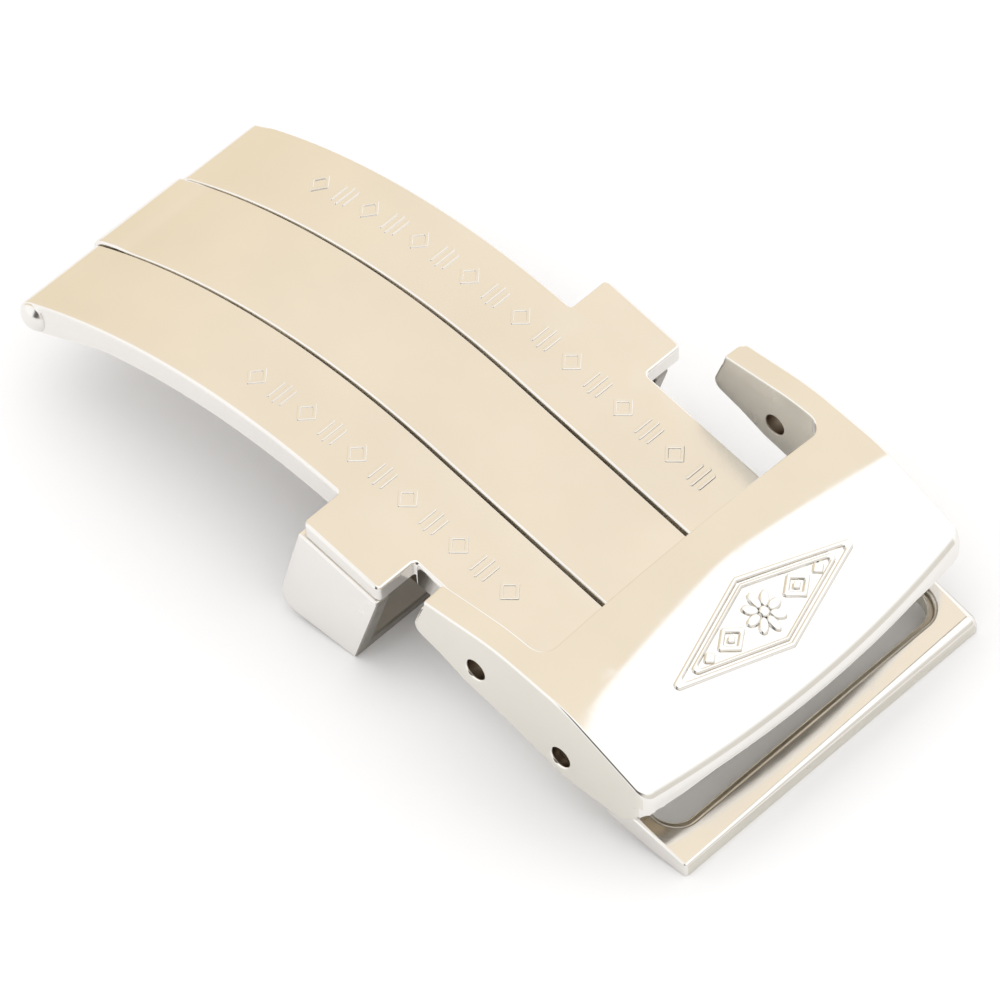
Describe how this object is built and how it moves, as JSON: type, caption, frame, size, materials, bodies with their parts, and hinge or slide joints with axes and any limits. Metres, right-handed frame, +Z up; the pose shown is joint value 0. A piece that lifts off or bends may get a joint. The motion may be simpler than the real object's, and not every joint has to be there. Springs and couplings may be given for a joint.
{
  "type": "watch strap folding clasp",
  "caption": "Folding watch clasp for a leather strap: arched blade with strap slot and keeper, hinged centre blade and pivoting hollow cover.",
  "frame": {"origin": "on the table plane, below the middle of the closed clasp's bounding box", "axes": "+X along the clasp from the blade hinge to the strap slot, +Y across the strap, +Z up from the wearer's wrist"},
  "size_m": [0.0471, 0.023, 0.0085],
  "materials": {
    "blade_steel": "polished nickel-toned steel, fine wear along the edges",
    "centre_steel": "polished nickel-toned steel, fine wear along the edges",
    "keeper_steel": "polished nickel-toned steel with a faint grain",
    "cover_steel": "bright polished nickel-toned steel",
    "pin_steel": "turned steel, slightly duller than the plates"
  },
  "bodies": {
    "outer_blade": {"outer_blade": "blade_steel", "hinge_pin": "pin_steel", "strap_keeper": "keeper_steel", "strap_peg": "pin_steel"},
    "centre_blade": {"centre_blade": "centre_steel"},
    "cover": {"cover": "cover_steel", "cover_pin": "pin_steel"}
  },
  "joints": [
    {"name": "blade_hinge", "type": "hinge", "parent": "outer_blade", "child": "centre_blade", "pos_m": [-0.0224, 0, 0.00487], "axis": [0, -1, 0], "range_deg": [0, 165]},
    {"name": "cover_hinge", "type": "hinge", "parent": "centre_blade", "child": "cover", "pos_m": [0.01614, 0, 0.00372], "axis": [0, -1, 0], "range_deg": [0, 34]}
  ]
}
